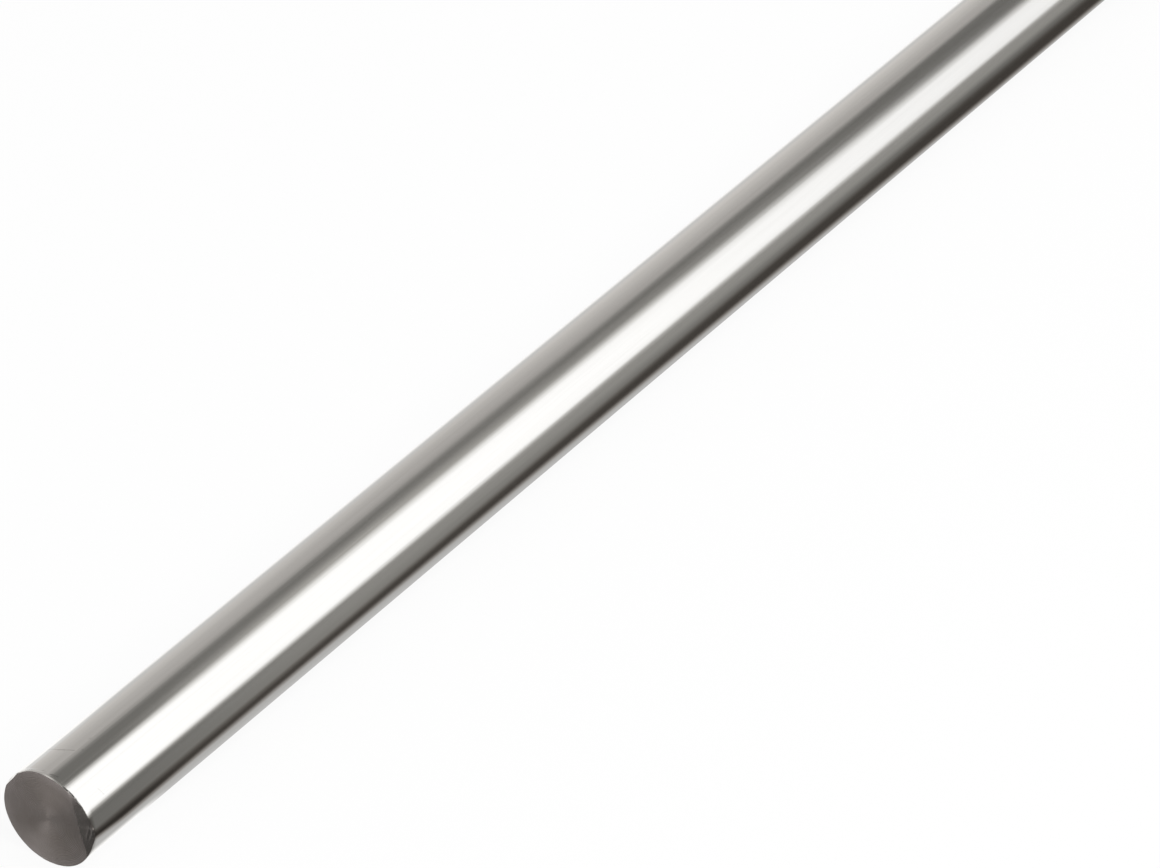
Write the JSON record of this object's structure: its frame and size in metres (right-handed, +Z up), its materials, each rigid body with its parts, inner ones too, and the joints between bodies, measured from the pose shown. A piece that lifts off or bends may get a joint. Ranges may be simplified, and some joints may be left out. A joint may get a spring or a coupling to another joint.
{
  "type": "aluminium round rod",
  "caption": "Solid bright-drawn round bar with a smooth barrel and flat turned ends, each with its rim lightly broken, for machining, axles, posts and spacers.",
  "frame": {"origin": "on the ground under the middle of the bar, so that the lowest line of the barrel lies at Z = 0", "axes": "+X along the bar, away from the cut end that the picture shows; +Z up; +Y across the bar"},
  "size_m": [0.5, 0.02, 0.02],
  "materials": {
    "aluminium": "bright drawn barrel with fine lengthwise draw lines, ends turned square"
  },
  "bodies": {
    "root": {"round_rod": "aluminium"}
  },
  "joints": []
}
